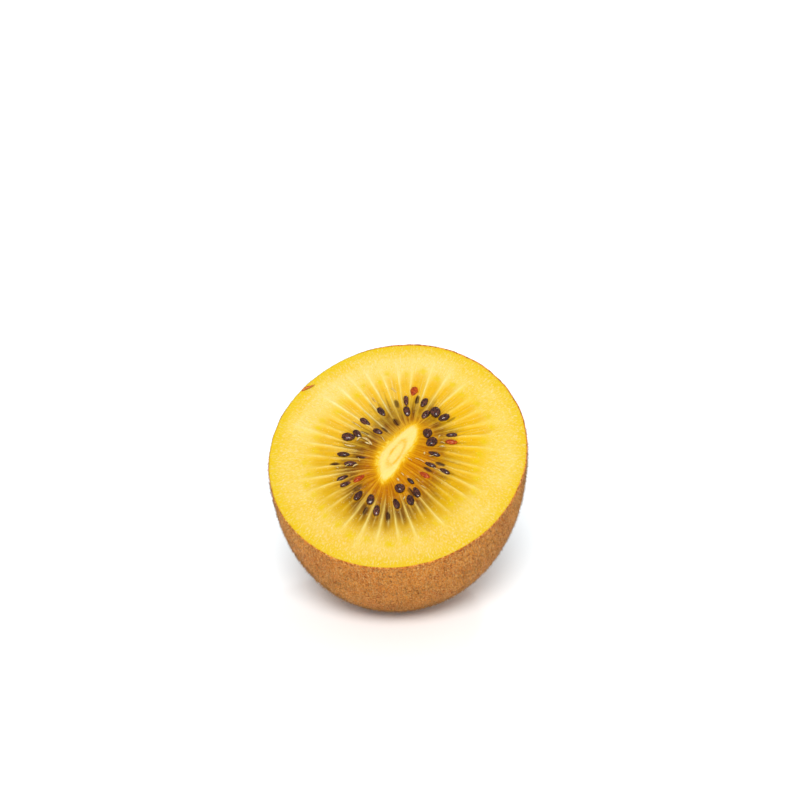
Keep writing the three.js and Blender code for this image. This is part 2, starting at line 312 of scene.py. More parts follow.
class Socket:
    """One output of a node in a material. Arithmetic on it adds Math nodes, and node() adds any
    other."""

    def __init__(self, tree, output=None):
        self.tree, self.output = tree, output

    def node(self, kind, settings=None, sockets=None, output=0):
        """Adds a node: its settings, then the values or links of its sockets. Gives one of its
        outputs."""
        made = self.tree.nodes.new("ShaderNode" + kind)
        for name, value in (settings or {}).items():
            if name == "stops":
                while len(made.color_ramp.elements) < len(value):
                    made.color_ramp.elements.new(1)
                for element, (position, shade) in zip(made.color_ramp.elements, value):
                    element.position, element.color = position, shade
            else:
                setattr(made, name, value)
        for name, value in (sockets or {}).items():
            if isinstance(value, Socket):
                self.tree.links.new(value.output, made.inputs[name])
            else:
                made.inputs[name].default_value = value
        return Socket(self.tree, made.outputs[output])

    def math(self, operation, *values):
        """The result of a Math node on numbers and sockets."""
        return self.node("Math", {"operation": operation}, dict(enumerate(values)))

    def __add__(self, other):
        return self.math("ADD", self, other)

    __radd__ = __add__

    def __sub__(self, other):
        return self.math("SUBTRACT", self, other)

    def __rsub__(self, other):
        return self.math("SUBTRACT", other, self)

    def __mul__(self, other):
        return self.math("MULTIPLY", self, other)

    __rmul__ = __mul__

    def between(self, low, high):
        """Rises smoothly from 0 at low to 1 at high."""
        ends = {"Value": self, "From Min": low, "From Max": high}
        return self.node("MapRange", {"interpolation_type": "SMOOTHSTEP"}, ends)

    def mix(self, first, second):
        """A colour from first to second, each a colour or its code, by this number from 0 to 1."""
        ends = [shade if isinstance(shade, Socket) else colour(shade) for shade in (first, second)]
        return self.node("Mix", {"data_type": "RGBA"}, {0: self, 6: ends[0], 7: ends[1]}, 2)

    def under(self, layers):
        """A colour with others laid over it one by one: each is a mask from 0 to 1, and a colour or
        its code."""
        body = self
        for mask, tint in layers:
            body = mask.mix(body, tint)
        return body

    def bump(self, strength, distance):
        """A normal that shades this number as a height, distance in metres for 1."""
        return self.node("Bump", None, {"Strength": strength, "Distance": distance, "Height": self})

    def attribute(self, name, output=2):
        """A number kept at the mesh's points, or with output 1 a vector."""
        return self.node("Attribute", {"attribute_name": name}, None, output)

    def place(self):
        """Place on the object, in mm."""
        vector = self.node("TexCoord", None, None, 3)
        return self.node("VectorMath", {"operation": "SCALE"}, {0: vector, 3: 1 / MM})

    def along(self, fan, around, outward):
        """A place for noise that runs in streaks: fan, a unit vector round the fruit, made around
        long, and this number times outward as its height."""
        wide = self.node("VectorMath", {"operation": "MULTIPLY"}, {0: fan, 1: (around, around, 0)})
        tall = self.node("CombineXYZ", None, {2: self * outward})
        return self.node("VectorMath", {"operation": "ADD"}, {0: wide, 1: tall})

    def noise(self, vector, scale, detail=2.0, roughness=0.5):
        """Smooth noise about 0.5, scale lumps to the millimetre, with finer lumps on them."""
        values = {"Vector": vector, "Scale": scale, "Detail": detail, "Roughness": roughness}
        return self.node("TexNoise", None, values)

    def cells(self, vector, scale, output=0):
        """Distance to the nearest of many random points, or with output 1 a random colour for each
        of them."""
        return self.node("TexVoronoi", None, {"Vector": vector, "Scale": scale}, output)


def new_material(name, uniform):
    """A material with one Principled shader, whose uniform values are set on its own sockets. Gives
    the material, a Socket to build from, and a function that links a Socket in."""
    material = bpy.data.materials.new(name)
    material.use_nodes = True
    tree = material.node_tree
    shader = tree.nodes["Principled BSDF"]
    for socket, value in uniform.items():
        shader.inputs[socket].default_value = value

    def feed(socket, source):
        tree.links.new(source.output, shader.inputs[socket])

    return material, Socket(tree), feed


def flesh_rings():
    """Share and ray of each point on the face, ring by ring outwards. Inside the core, share runs
    from -1 at its middle to 0 at its edge. Outside it goes by the ring's number to the power 1.15,
    closer near the core."""
    ray = np.arange(FLESH_TURNS) / FLESH_TURNS * 2 * np.pi
    inside = np.linspace(-1, 0, CORE_RINGS + 2)[1:-1]
    across = LAST_SHARE * np.linspace(0, 1, FACE_RINGS) ** 1.15
    return np.meshgrid(np.concatenate([inside, across]), ray, indexing="ij")


def flat_place(share, ray):
    """Place on the cut: inside the core its edge shrunk towards the middle, outside it the face's
    ovals."""
    return face_place(np.maximum(share, 0), ray) * np.minimum(1 + share, 1)[..., None]


def wedges(share, ray):
    """The nearest wall to a place and its distance in mm, then the chamber that it is in, and the
    place across the chamber in mm and from -1 at one wall to 1 at the next. The direction less the
    walls' drift at this share is looked up between the walls' own directions."""
    rows = np.concatenate([WALLS[-1:], WALLS, WALLS[:1]])
    rows[[0, -1], 0] += [-360, 360]
    turn = np.degrees(ray + CORE_TURN) % 360
    turn = turn - np.interp(turn, rows[:, 0], rows[:, 1]) * (share - WALL_MIDDLE)
    count = np.interp(turn, rows[:, 0], np.arange(len(rows)))
    wall, chamber = np.round(count).astype(int), np.minimum(np.floor(count).astype(int), len(rows) - 2)
    long, short = oval_axes(np.maximum(share, 0))
    degree = np.radians(1) * np.hypot(long * np.sin(ray), short * np.cos(ray))
    gap = (turn - rows[wall, 0]) * degree
    across = 2 * (count - chamber) - 1
    reach = across * (rows[chamber + 1, 0] - rows[chamber, 0]) / 2 * degree
    return (wall - 1) % len(WALLS), gap, (chamber - 1) % len(WALLS), reach, across


def seed_turns(seeds):
    """The way each seed's long side points, radians: the sum of the unit vectors from the core's
    two foci, turned by the seed's own angle."""
    direction = np.radians(seeds[:, 0])
    place = seeds[:, 1:2] * np.stack([np.cos(direction), np.sin(direction)], -1)
    focus = CORE_FOCUS * np.array([np.cos(CORE_TURN), np.sin(CORE_TURN)])
    outward = to_unit(place - focus) + to_unit(place + focus)
    return np.arctan2(outward[:, 1], outward[:, 0]) + np.radians(seeds[:, 4])


def seed_reach(flat, seeds):
    """For each place, the least oval distance to a seed: the length of (how far along it over half
    its length, how far across it over half its width), which is 1 on its outline."""
    nearest = np.full(flat.shape[:-1], np.inf)
    for (direction, distance, length, width, _), along in zip(seeds, seed_turns(seeds)):
        middle = distance * np.array([np.cos(np.radians(direction)), np.sin(np.radians(direction))])
        x, y = np.moveaxis(flat - middle, -1, 0)
        a, b = turn_by(x, y, -along)
        nearest = np.minimum(nearest, np.hypot(a / (length / 2), b / (width / 2)))
    return nearest


def core_edge(ray, ragged):
    """Share at which the core ends: the oval drawn in by four cosine waves, which make it a leaf,
    widest low left, and by a ragged part. Where it stands out of the oval it is scaled down, since
    shares are longer there."""
    waves = [(1, 0.085, 109), (2, 0.063, -20), (3, 0.1, -73), (4, 0.05, 70)]
    edge = ragged - 0.108
    for times, size, turn in waves:
        edge = edge + size * np.cos(times * ray - np.radians(turn))
    return np.minimum(edge, 0) + np.maximum(edge, 0) * (0.06 + 0.33 * np.cos(ray) ** 2)


def bell(distance, width):
    """Falls from 1 at no distance by exp(-(distance / width)^2)."""
    return np.exp(-((distance / width) ** 2))


def facing(direction, way, narrow):
    """1 in the direction way and 0 square to it: the cosine between them to the power narrow."""
    return np.maximum(np.cos(direction - way), 0) ** narrow


# How one wall or chamber differs from the next: which of a chamber's sides is the deeper gold,
# where across it the tip lies and how strong it is, and which of a wall's sides is the softer.
wall_draw = np.random.default_rng(5)
chamber_skew = wall_draw.uniform(-0.5, 0.9, len(WALLS))
tip_shift = wall_draw.uniform(-0.35, 0.35, len(WALLS))
tip_tone = wall_draw.uniform(0.65, 1.0, len(WALLS))
soft_side = wall_draw.uniform(-0.7, 0.7, len(WALLS))


def face_shape(share, ray):
    """What the face's height and its materials are worked out from, as numbers from 0 to 1 at each
    place. Lines and spots are bells, zones go from one share to another by smooth steps, and the
    random field roughens them."""
    flat = flat_place(share, ray)
    spot = np.concatenate([flat, np.zeros_like(flat[..., :1])], -1)
    wall, gap, chamber, reach, across = wedges(share, ray)
    _, _, strength, start, end, *_ = np.moveaxis(WALLS[wall], -1, 0)
    _, _, _, _, _, gold_end, tip, streak = np.moveaxis(WALLS[chamber], -1, 0)
    direction = np.arctan2(flat[..., 1], flat[..., 0])
    lower = 0.5 - 0.5 * np.sin(direction + 0.15)
    below = lower**9  # only straight below the core
    rightward = 0.5 + 0.5 * np.cos(direction - AMBER_WAY)

    # The walls: a thin line in a soft band three times as wide, both wider further out.
    thin = (WALL_THIN + WALL_FAN * np.maximum(share, 0) ** 2.2) * (1 + soft_side[wall] * np.sign(gap))
    ragged = 1 + 0.35 * streaks(share, ray, 40, 12)
    band = (0.15 + 0.4 * smooth(0.4, 0.75, share)) * bell(gap, 3 * thin)
    line = strength * (1.1 * bell(gap, thin * ragged) + band)
    line = line * smooth(start - 0.06, start + 0.08, share) * (1 - smooth(end - 0.26, end + 0.06, share))
    line = line * (0.8 + 0.35 * field(spot, 1.5))
    # A pale streak along the middle of some chambers, and loose threads in the pulp.
    middle = streak * bell(reach, 0.16 * ragged) * smooth(0.28, 0.36, share)
    line = line + middle * (1 - smooth(gold_end - 0.08, gold_end, share)) * 0.8
    thread = smooth(0.3, 0.7, streaks(share, ray, 75, 1.5)) * smooth(0.12, 0.25, share)
    line = line + 0.35 * thread * (1 - smooth(gold_end - 0.2, gold_end, share))

    # The chambers: gold out to a round ragged end, deeper on one side, with a lemon tip.
    gold_end = gold_end + 0.04 * lower - 0.11 * across**2 + 0.02 * field(spot, 0.8)
    gold_end = gold_end + 0.015 * streaks(share, ray, 60, 2)
    gold = smooth(0.05, 0.2, share) * (1 - smooth(gold_end - 0.16, gold_end + 0.025, share))
    gold = gold * (1 - 0.75 * smooth(0.45, 1.0, np.abs(across)))
    gold = gold * (0.75 - 0.25 * chamber_skew[chamber] * across)
    past_tip = (share - tip - 0.012 * field(spot, 0.7)) / (TIP_LONG + 0.01 * lower**3)
    beside_tip = (across - tip_shift[chamber]) / TIP_WIDE
    tip = tip_tone[chamber] * np.exp(-(past_tip**2 + beside_tip**2) * (1 + 0.5 * field(spot + 3, 0.5)))

    # The clear grey jelly in the inner part of the chambers, thinner at their walls, and the fibres
    # in it.
    grey_end = GREY_END + GREY_FURTHER * below + 0.04 * field(spot, 2.5) + 0.03 * streaks(share, ray, 30, 2)
    spared = 0.6 * smooth(0.08, 0.2, share) * facing(direction, SPARED_WAY, 8)
    darker = 0.1 * smooth(0, 0.6, rightward) + 0.35 * facing(direction, DARKEST_WAY, 6)
    grey = (0.9 + darker - spared) * smooth(-0.06, 0.06, share)
    grey = grey * (1 - smooth(grey_end - 0.2, grey_end + 0.04, share)) * (0.95 + 0.3 * field(spot, 1.2))
    grey = grey * (1 - 0.35 * smooth(0.5, 1.0, np.abs(across)))
    fibre = 0.5 + 0.35 * streaks(share, ray, 34, 3) + 0.35 * streaks(share, ray, 70, 4)

    # The core, with a deeper ring inside its edge, a fringe of beads on it, a glow outside it, and
    # a loop within.
    edge = core_edge(ray, 0.025 * streaks(share, ray, 20, 0.5))
    off_core = np.linalg.norm(flat - flat_place(edge, ray), axis=-1) * np.sign(share - edge)
    core = 1 - smooth(-0.3, 0.1, off_core)
    ring = smooth(-1.0, -0.15, off_core)
    glow = bell(np.maximum(off_core, 0), 0.8)
    fringe = bell(off_core - 0.05, 0.26) * smooth(-0.05, 0.35, streaks(share, ray, 19, 0.5))
    off_loop = share + 0.64 + 0.06 * np.cos(ray) - 0.035 * np.sin(ray) - 0.058 * np.cos(2 * ray)
    loop = bell(off_loop, 0.1) * (0.75 + 0.35 * field(spot, 1.5))

    # The amber zone round the core, widest down and right of it, thinned in rays further out.
    uneven = streaks(share, ray, 26, 2)
    amber_end = 0.02 + 0.2 * rightward + 0.05 * uneven
    amber = (1 - core) * (1 - smooth(amber_end - 0.08, amber_end + 0.14, share)) * (0.5 + 0.5 * rightward)
    amber = amber * (1 - (0.4 - 0.4 * below + 0.3 * uneven) * smooth(0.04, 0.15, share))

    # Seeds that lie just under the surface, and the bright flesh round those that stand out.
    sunk = 1 - smooth(0.65, 1.2, seed_reach(flat, SUNK_SEEDS) * (1 + 0.15 * field(spot, 0.5)))
    sunk = sunk * (0.8 + 0.5 * streaks(share, ray, 50, 3))
    standing = seed_reach(flat, np.concatenate([DARK_SEEDS, RED_SEEDS]))
    halo = smooth(0.95, 1.15, standing) * (1 - smooth(1.2, 1.7, standing))
    return dict(
        wall=line, gold=gold, tip=tip, grey=grey, amber=amber, core=core, ring=ring, glow=glow,
        fringe=fringe, loop=loop, fibre=fibre, sunk=sunk, halo=halo, share=share, lower=lower**3,
        rightward=rightward,
    )


def face_height(share, ray, shape):
    """Height of the cut over its plane: the core's low cushion and its fringe, ridges along walls
    and fibres, wet beads in the pulp and grain all over, less the chambers' hollows, the seeds'
    pits and a fall at the rim."""
    flat = flat_place(share, ray)
    spot = np.concatenate([flat, np.zeros_like(flat[..., :1])], -1)
    cushion = CORE_RISE * (1 - smooth(-0.35, 0.05, share)) * (0.8 + 0.2 * field(spot, 1.3))
    ridge = WALL_RISE * np.minimum(shape["wall"], 1)
    hollow = CHAMBER_SINK * shape["gold"] * (0.8 + 0.4 * field(spot, 1.1))
    pulp = smooth(-0.05, 0.08, share) * (1 - smooth(0.3, 0.55, share))
    fibres = pulp * (FIBRE_RISE * (shape["fibre"] - 0.5) + BEAD_RISE * field(spot, 0.42))
    standing = seed_reach(flat, np.concatenate([DARK_SEEDS, RED_SEEDS]))
    pits = PIT_SINK * (1 - smooth(0.85, 1.9, standing)) * smooth(0, 0.1, share)
    fringe = FRINGE_RISE * shape["fringe"]
    grain = GRAIN_RISE * (field(spot, 0.55) + 0.7 * field(spot + 7, 0.3)) + SWELL_RISE * field(spot, 3.1)
    rim = RIM_SINK * smooth(0.98, 1, share) ** 2
    return cushion + fringe + ridge - hollow + fibres - pits + grain - rim


def flesh_points():
    """The face ring by ring, then the outside of the flesh down to the stem end, which is the
    fruit's outside drawn in by most of the skin's thickness. The attributes run on from the last
    ring of the face."""
    share, ray = flesh_rings()
    shape = face_shape(share, ray)
    face = np.concatenate([flat_place(share, ray), face_height(share, ray, shape)[..., None]], -1)
    face = np.where(share[..., None] > 0.8, rim_wander(face), face)
    angle = np.arctan2(face[-1, :, 1], face[-1, :, 0])
    fall = np.linspace(0.006, 0.985, UNDER_RINGS)
    under = skin_place(*np.meshgrid(fall, angle, indexing="ij"))
    under = under * (1 - SKIN_THICK * 0.8 / np.linalg.norm(under, axis=-1, keepdims=True))
    top = np.array([[0, 0, face[0, :, 2].mean()]])
    bottom = under[-1].mean(0, keepdims=True)
    rest = (1, under[..., 0].size + 1)
    attributes = {key: np.pad(values.ravel(), rest, mode="edge") for key, values in shape.items()}
    turned = np.stack([np.cos(ray), np.sin(ray), 0 * ray], -1).reshape(-1, 3)
    attributes["fan"] = np.pad(turned, (rest, (0, 0)), mode="edge")
    points = np.concatenate([top, face.reshape(-1, 3), under.reshape(-1, 3), bottom])
    return placed(points, 0.3), ring_faces(len(face) + len(under), FLESH_TURNS), attributes


flesh_material, start, feed = new_material("cut_flesh", {
    "Subsurface Weight": 0.12, "Subsurface Radius": (1.0, 0.6, 0.15), "Subsurface Scale": 0.0008,
    "IOR": 1.36, "Specular IOR Level": 0.1,
})
mask = start.attribute
share = mask("share")
spot = start.place()
fan = start.attribute("fan", 1)
grain = start.noise(spot, 2.7, 3, 0.6)
fine_grain = start.noise(share.along(fan, 80, 34), 1.0, 2)
# Small pale specks laid into the pulp's colour: painted glints for the wet shine of the flesh.
painted_glint = start.cells(spot, 1.5).between(0.2, 0.09)
patch = start.noise(spot, 0.16, 2)
fibre = mask("fibre")
lower = mask("lower")
rightward = mask("rightward")
milky = rightward.between(0.4, 0.0)  # the flesh is paler up and left of the core
pulp = share.between(0.58, 0.3) * share.between(-0.1, 0.06)

outer = patch.between(0.35, 0.65).mix("FBD448", "FCDC66").under([
    (lower * 0.4, "F2BE3C"),
    (share.between(0.84, 0.78) * milky * 0.5, "FFE68C"),
    (share.between(0.82, 0.97) * 0.75, "F5CC18"),
    (fine_grain.between(0.5, 0.72) * 0.5, "FFEAB4"),
    (fine_grain.between(0.48, 0.25) * 0.4, "F4C412"),
    (grain.between(0.5, 0.75) * 0.3, "FFE8A8"),
    (grain.between(0.5, 0.25) * 0.35, "F2C218"),
    (share.between(0.86, 0.97) * (0.55 - rightward * 0.4), "F0CC00"),
    (share.between(0.965, 0.995) * 0.5, "EAC000"),
])
inner = lower.mix("FBCA14", "D8A60C").under([(milky * 0.35, "FFE070")])
wall = share.between(0.15, 0.5).mix("E6BE58", "FFE888").under([(milky * 0.6, "FFF4B0")])
core = mask("ring").mix("FFE684", "FFCC26").under([
    (mask("loop"), "FABA08"),
    (grain.between(0.45, 0.7) * 0.3, "FFEEB0"),
])
body = share.between(0.72, 0.46).mix(outer, inner).under([
    (mask("gold") * 0.9, lower.mix("F2B600", "BC8400")),
    (mask("tip"), "F2CE00"),
    (mask("grey") * 0.95, "764610"),
    (mask("halo") * 0.4, "F0AC04"),
    (fibre.between(0.52, 0.9) * pulp * 0.55, "E8BE4C"),
    (fibre.between(0.42, 0.1) * pulp * share.between(0.5, 0.25) * 0.5, "704A1A"),
    (mask("amber") * 0.9, fibre.between(0.2, 0.8).mix("C67202", "E89C04")),
    (mask("wall") * 0.75, wall),
    # Painted glints: near-white specks over the pulp.
    (painted_glint * share.between(0.05, 0.3) * 0.32, "FFF4B8"),
    (mask("glow") * 0.7, "FABC04"),
    (mask("core"), core),
    (mask("fringe") * 0.8, "FFE050"),
    (mask("sunk") * 0.92, "3C1C16"),
])
feed("Base Color", body)
feed("Roughness", grain.between(0.3, 0.7) * 0.2 + share.between(0.1, 0.6) * 0.12 + 0.2)
relief = grain * 0.6 + (fine_grain * 0.5 + fibre * 0.3) * share.between(0, 0.1)
feed("Normal", relief.bump(0.7, 0.0001))

flesh = make_piece("flesh", flesh_material, *flesh_points())
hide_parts("kiwi_half")

# The skin
#
# A thin leathery peel, tan brown, with a crust of tiny raised scales and pits between them. It is
# grown on to the flesh, so it follows it everywhere, and the knife cut it off level with the face.
SKIN_TURNS, SKIN_RINGS, LINING_RINGS = 560, 150, 5
SKIN_BUMPS, SKIN_DENTS = 0.045, 0.1
# How far the knife left the peel standing over the face, mm, and in which direction from its middle.
PEEL_PROUD, PEEL_PROUD_WAY = 0.3, np.radians(40)


def skin_points():
    """The lining up from the stem end, two rings of the cut edge, then the outside down again. The
    lining is the outside drawn in by the peel's thickness. The outside has the random field added
    to it along the way out, as slow dents and a fine crust, and is lifted in one place near the
    cut. Also gives how far down from the cut each point is, in mm, summed from ring to ring."""
    angle = np.arange(SKIN_TURNS) / SKIN_TURNS * 2 * np.pi
    spread = np.linspace(0, 1, SKIN_RINGS)
    fall, turn = np.meshgrid(0.0008 + 0.9985 * spread ** 1.15, angle, indexing="ij")
    outer = skin_place(fall, turn)
    down = np.cumsum(np.linalg.norm(np.diff(outer, axis=0), axis=-1), axis=0)
    down = np.pad(down, ((LINING_RINGS + 3, 0), (0, 0)))
    way_out = to_unit(outer)
    crust = SKIN_BUMPS * (field(outer, 0.9) + 0.6 * field(outer, 0.45))
    dents = SKIN_DENTS * field(outer, 6) * smooth(0, 3, -outer[..., 2])
    outer = rim_wander(outer + way_out * (crust + dents)[..., None])
    fall, turn = np.meshgrid(np.linspace(0.99, 0.004, LINING_RINGS), angle, indexing="ij")
    lining = skin_place(fall, turn)
    lining = lining * (1 - SKIN_THICK / np.linalg.norm(lining, axis=-1, keepdims=True))
    lip = np.stack([lining[-1], 0.25 * lining[-1] + 0.75 * outer[0]])
    proud = PEEL_PROUD * smooth(0.1, 0.7, np.cos(angle - PEEL_PROUD_WAY))
    outer[..., 2] += proud * smooth(1.5, 0, down[LINING_RINGS + 2 :])
    lip[0, :, 2] = -0.6
    lip[1, :, 2] = proud - 0.16 + 0.06 * field(outer[0], 0.8)
    rings = np.concatenate([placed(lining, 0.25), placed(lip), placed(outer)])
    inside_pole, outside_pole = rings[0].mean(0, keepdims=True), rings[-1].mean(0, keepdims=True)
    points = np.concatenate([inside_pole, rings.reshape(-1, 3), outside_pole])
    turned = np.tile(np.stack([np.cos(angle), np.sin(angle), 0 * angle], -1), (len(rings), 1))
    return points, ring_faces(len(rings), SKIN_TURNS), {
        "down": np.pad(down.ravel(), 1, mode="edge"),
        "fan": np.pad(turned, ((1, 1), (0, 0)), mode="edge"),
    }


skin_material, start, feed = new_material("skin", {
    "Subsurface Weight": 0.05, "Subsurface Radius": (1, 0.5, 0.25), "Subsurface Scale": 0.0005,
    "Specular IOR Level": 0.08,
    "Sheen Weight": 0.04, "Sheen Roughness": 0.4, "Sheen Tint": colour("F2B060"),
})
spot = start.place()
fan = start.attribute("fan", 1)
down = start.attribute("down")
dash = start.noise(down.along(fan, 62, 1.5), 1.0, 2, 0.5)
light_dash = start.noise((down + 40).along(fan, 84, 1.5), 1.0, 2, 0.55)
mottle = start.noise(spot, 0.14, 3)
blotch = start.noise(spot, 0.6, 2)
crust = start.noise(spot, 4.0, 2, 0.5)
speck = start.cells(spot, 0.62).between(0.28, 0.14)
speck_kind = start.node("SeparateColor", None, {0: start.cells(spot, 0.62, 1)})
knife_mark = start.noise(down.along(fan, 40, 2), 1.0, 2).between(0.5, 0.6) * down.between(1.1, 0.3)
body = mottle.between(0.35, 0.65).mix("E48632", "F89E3C").under([
    # Darker brown further from the cut: painted shade for the lower part of the peel near the table.
    (down.between(5, 28) * 0.6, "BE7630"),
    (blotch.between(0.45, 0.65) * 0.3, "D67230"),
    (light_dash.between(0.46, 0.66) * 0.75, "FFC878"),
    (crust.between(0.5, 0.7) * 0.25, "FFC068"),
    (crust.between(0.46, 0.28) * 0.25, "B05C18"),
    (dash.between(0.53, 0.68) * 0.6, "984A14"),
    (speck * speck_kind.between(0.5, 0.6) * 0.75, "92380E"),
    (knife_mark * 0.7, "9E481A"),
])
feed("Base Color", body)
feed("Roughness", crust * 0.25 + 0.6)
relief = crust * 0.5 + light_dash * 0.5 - dash.between(0.5, 0.7) * 0.6
feed("Normal", relief.bump(0.7, 0.00012))
skin = make_piece("skin", skin_material, *skin_points())

# The seeds
#
# Small flattened drops with a dimpled, nearly black and glossy coat, each lying along its ray in
# its chamber with its point to the core. The knife left them standing in the face. A few unripe
# ones are orange-red.
SEED_AROUND, SEED_ALONG = 28, 18
SEED_HEIGHT, SEED_HEIGHTS = 0.62, (0.75, 1.2)  # as a share of its width, and the least and the most in mm
SEED_TAPER = 0.15  # how much wider than its middle the blunt end is, and how much narrower the point
DARK_STAND, RED_STAND = 0.5, 0.42  # the share of a seed's height that stands out of the flesh


def seed_points(seeds, stand):
    """All seeds as one array: an ellipsoid tapered along it towards the core, dimpled by the random
    field, turned to its ray, and set so that a share of its height, stand, is above the flesh, more
    for a wide seed."""
    around = np.arange(SEED_AROUND) / SEED_AROUND * 2 * np.pi
    along = np.linspace(0, np.pi, SEED_ALONG + 2)[1:-1]
    u, v = np.meshgrid(along, around, indexing="ij")
    unit = np.stack([-np.cos(u), np.sin(u) * np.cos(v), np.sin(u) * np.sin(v)], -1).reshape(-1, 3)
    unit = np.concatenate([[[-1, 0, 0]], unit, [[1, 0, 0]]])
    length, width = seeds[:, 2, None], seeds[:, 3, None]
    narrow = 1 + SEED_TAPER * unit[:, 0] - 0.06 * unit[:, 0] ** 2
    height = np.clip(width * SEED_HEIGHT, *SEED_HEIGHTS)
    stand = stand + 0.2 * (width - 1.2)
    x, y, z = unit[:, 0] * length / 2, unit[:, 1] * width / 2 * narrow, unit[:, 2] * height / 2
    body = np.stack([x, y, z], -1)
    shift = seeds[:, None, [0, 1, 0]] * [1.7, 3.1, 1.7]  # another part of the random field for each seed
    dimple = 0.08 * field(body + shift, 0.4) + 0.05 * field(body + shift, 0.2)
    body = body * (1 + dimple[..., None])
    turn = seed_turns(seeds)[:, None]
    direction, distance = np.radians(seeds[:, 0, None]), seeds[:, 1, None]
    x, y = turn_by(body[..., 0], body[..., 1], turn)
    x, y = x + distance * np.cos(direction), y + distance * np.sin(direction)
    z = body[..., 2] + (stand - 0.5) * height - 0.1
    points = placed(np.stack([x, y, z], -1)).reshape(-1, 3)
    tone = np.repeat(np.random.default_rng(3).uniform(0, 1, len(seeds)), len(unit))
    own = ((body + shift) * [1, 2.2, 2.2]).reshape(-1, 3)
    faces = repeat_faces(ring_faces(SEED_ALONG, SEED_AROUND), len(seeds), len(unit))
    return points, faces, {"tone": tone, "own": own}


def seed_material(name, deep, light, coat):
    """A glossy coat, deep with lighter wrinkles along the seed, and lighter or darker from seed to
    seed."""
    material, start, feed = new_material(name, {
        "IOR": 1.42, "Specular IOR Level": 0.2, "Coat Weight": coat, "Coat Roughness": 0.08,
    })
    crease = start.noise(start.attribute("own", 1), 1.8, 3, 0.6)
    body = crease.between(0.42, 0.62).mix(deep, light)
    feed("Base Color", body.under([(start.attribute("tone") * 0.5, deep)]))
    feed("Roughness", crease * 0.3 + 0.2)
    feed("Normal", crease.bump(0.9, 0.0003))
    return material


seed_coat = seed_material("seed_coat", "260A06", "7C4230", 0.4)
dark_seeds = make_piece("dark_seeds", seed_coat, *seed_points(DARK_SEEDS, DARK_STAND))
unripe_coat = seed_material("unripe_seed_coat", "A83000", "E86E0C", 0.2)
red_seeds = make_piece("red_seeds", unripe_coat, *seed_points(RED_SEEDS, RED_STAND))

# The torn fibres
#
# Pale shreds of chamber wall that the knife tore and left lying wet on the pulp, most of them
# beside the seeds. Each row is one shred: x and y in mm where it starts and where it ends, how far
# it bows sideways, and its width.
SHREDS = np.array([
    [-8.1, 2.3, -7.2, 3.1, 0.1, 0.42], [-7.3, 3.1, -5.0, 1.3, 0.25, 0.5],
    [-6.6, 2.1, -5.3, 1.5, -0.1, 0.35], [-10.6, 1.5, -8.1, 1.1, -0.3, 0.34],
    [-8.6, -3.7, -7.4, -3.0, 0.1, 0.3], [-10.0, -3.6, -8.9, -2.9, 0.1, 0.16],
    [-7.7, -1.5, -7.3, -2.3, 0.1, 0.16], [0.05, -5.9, 0.55, -6.6, 0.0, 0.34],
    [5.15, -0.6, 5.1, 0.1, 0.0, 0.32], [7.9, 1.3, 9.2, 1.2, 0.12, 0.28],
    [7.8, 3.2, 8.2, 3.9, 0.2, 0.24], [8.0, 2.3, 9.0, 2.0, 0.15, 0.18],
    [5.9, -0.8, 7.0, -0.6, -0.15, 0.16], [0.8, -4.7, 1.4, -5.3, 0.0, 0.18],
    [3.7, -5.9, 4.4, -6.6, 0.0, 0.2], [4.6, -7.4, 5.8, -8.1, 0.05, 0.2],
    [3.2, -1.3, 5.2, -2.2, 0.05, 0.13], [1.8, -1.3, 2.8, -1.9, 0.0, 0.14],
    [6.9, -3.4, 8.6, -4.3, 0.05, 0.18], [1.75, -9.8, 1.4, -10.6, 0.1, 0.24],
    [-5.7, 12.3, -4.9, 11.2, 0.0, 0.24], [-2.1, 14.6, -1.0, 13.5, 0.1, 0.2],
    [-11.9, -3.9, -11.2, -4.1, 0.15, 0.24], [-9.3, 6.6, -7.4, 5.3, 0.0, 0.2],
    [-3.6, 3.6, -2.6, 2.2, 0.0, 0.12], [-7.6, 4.4, -5.6, 3.2, 0.05, 0.13],
])
STRAND_AROUND, STRAND_ALONG = 8, 9
# How high a shred's ends lie over the face, mm, and how far its middle arches over them: the first
# number in mm, plus the second times its width.
SHRED_LIFT, SHRED_ARCH = 0.04, (0.12, 0.3)


def strand_points(starts, ends, bows, widths, thicknesses):
    """Tapered strands as one array: t of the way along, each is at its start plus t times the run
    to its end plus 4 t (1 - t) times its bow, and its section is an ellipse whose size goes by the
    root of sin of t half turns."""
    t = np.linspace(0, 1, STRAND_ALONG + 2)[1:-1]
    size = np.sqrt(np.sin(np.pi * t))[None, :, None, None]
    run, bow = (ends - starts)[:, None], bows[:, None]
    middle = starts[:, None] + run * t[:, None] + 4 * bow * (t * (1 - t))[:, None]
    way = run + 4 * bow * (1 - 2 * t)[:, None]
    side = to_unit(np.cross(way, [0, 0, 1]))
    over = to_unit(np.cross(side, way))
    turn = np.arange(STRAND_AROUND) / STRAND_AROUND * 2 * np.pi
    wide = side[:, :, None] * np.cos(turn)[:, None] * widths[:, None, None, None] / 2
    tall = over[:, :, None] * np.sin(turn)[:, None] * thicknesses[:, None, None, None] / 2
    rings = middle[:, :, None] + (wide + tall) * size
    points = np.concatenate([starts[:, None], rings.reshape(len(starts), -1, 3), ends[:, None]], 1)
    faces = repeat_faces(ring_faces(STRAND_ALONG, STRAND_AROUND), len(starts), points.shape[1])
    return points.reshape(-1, 3), faces


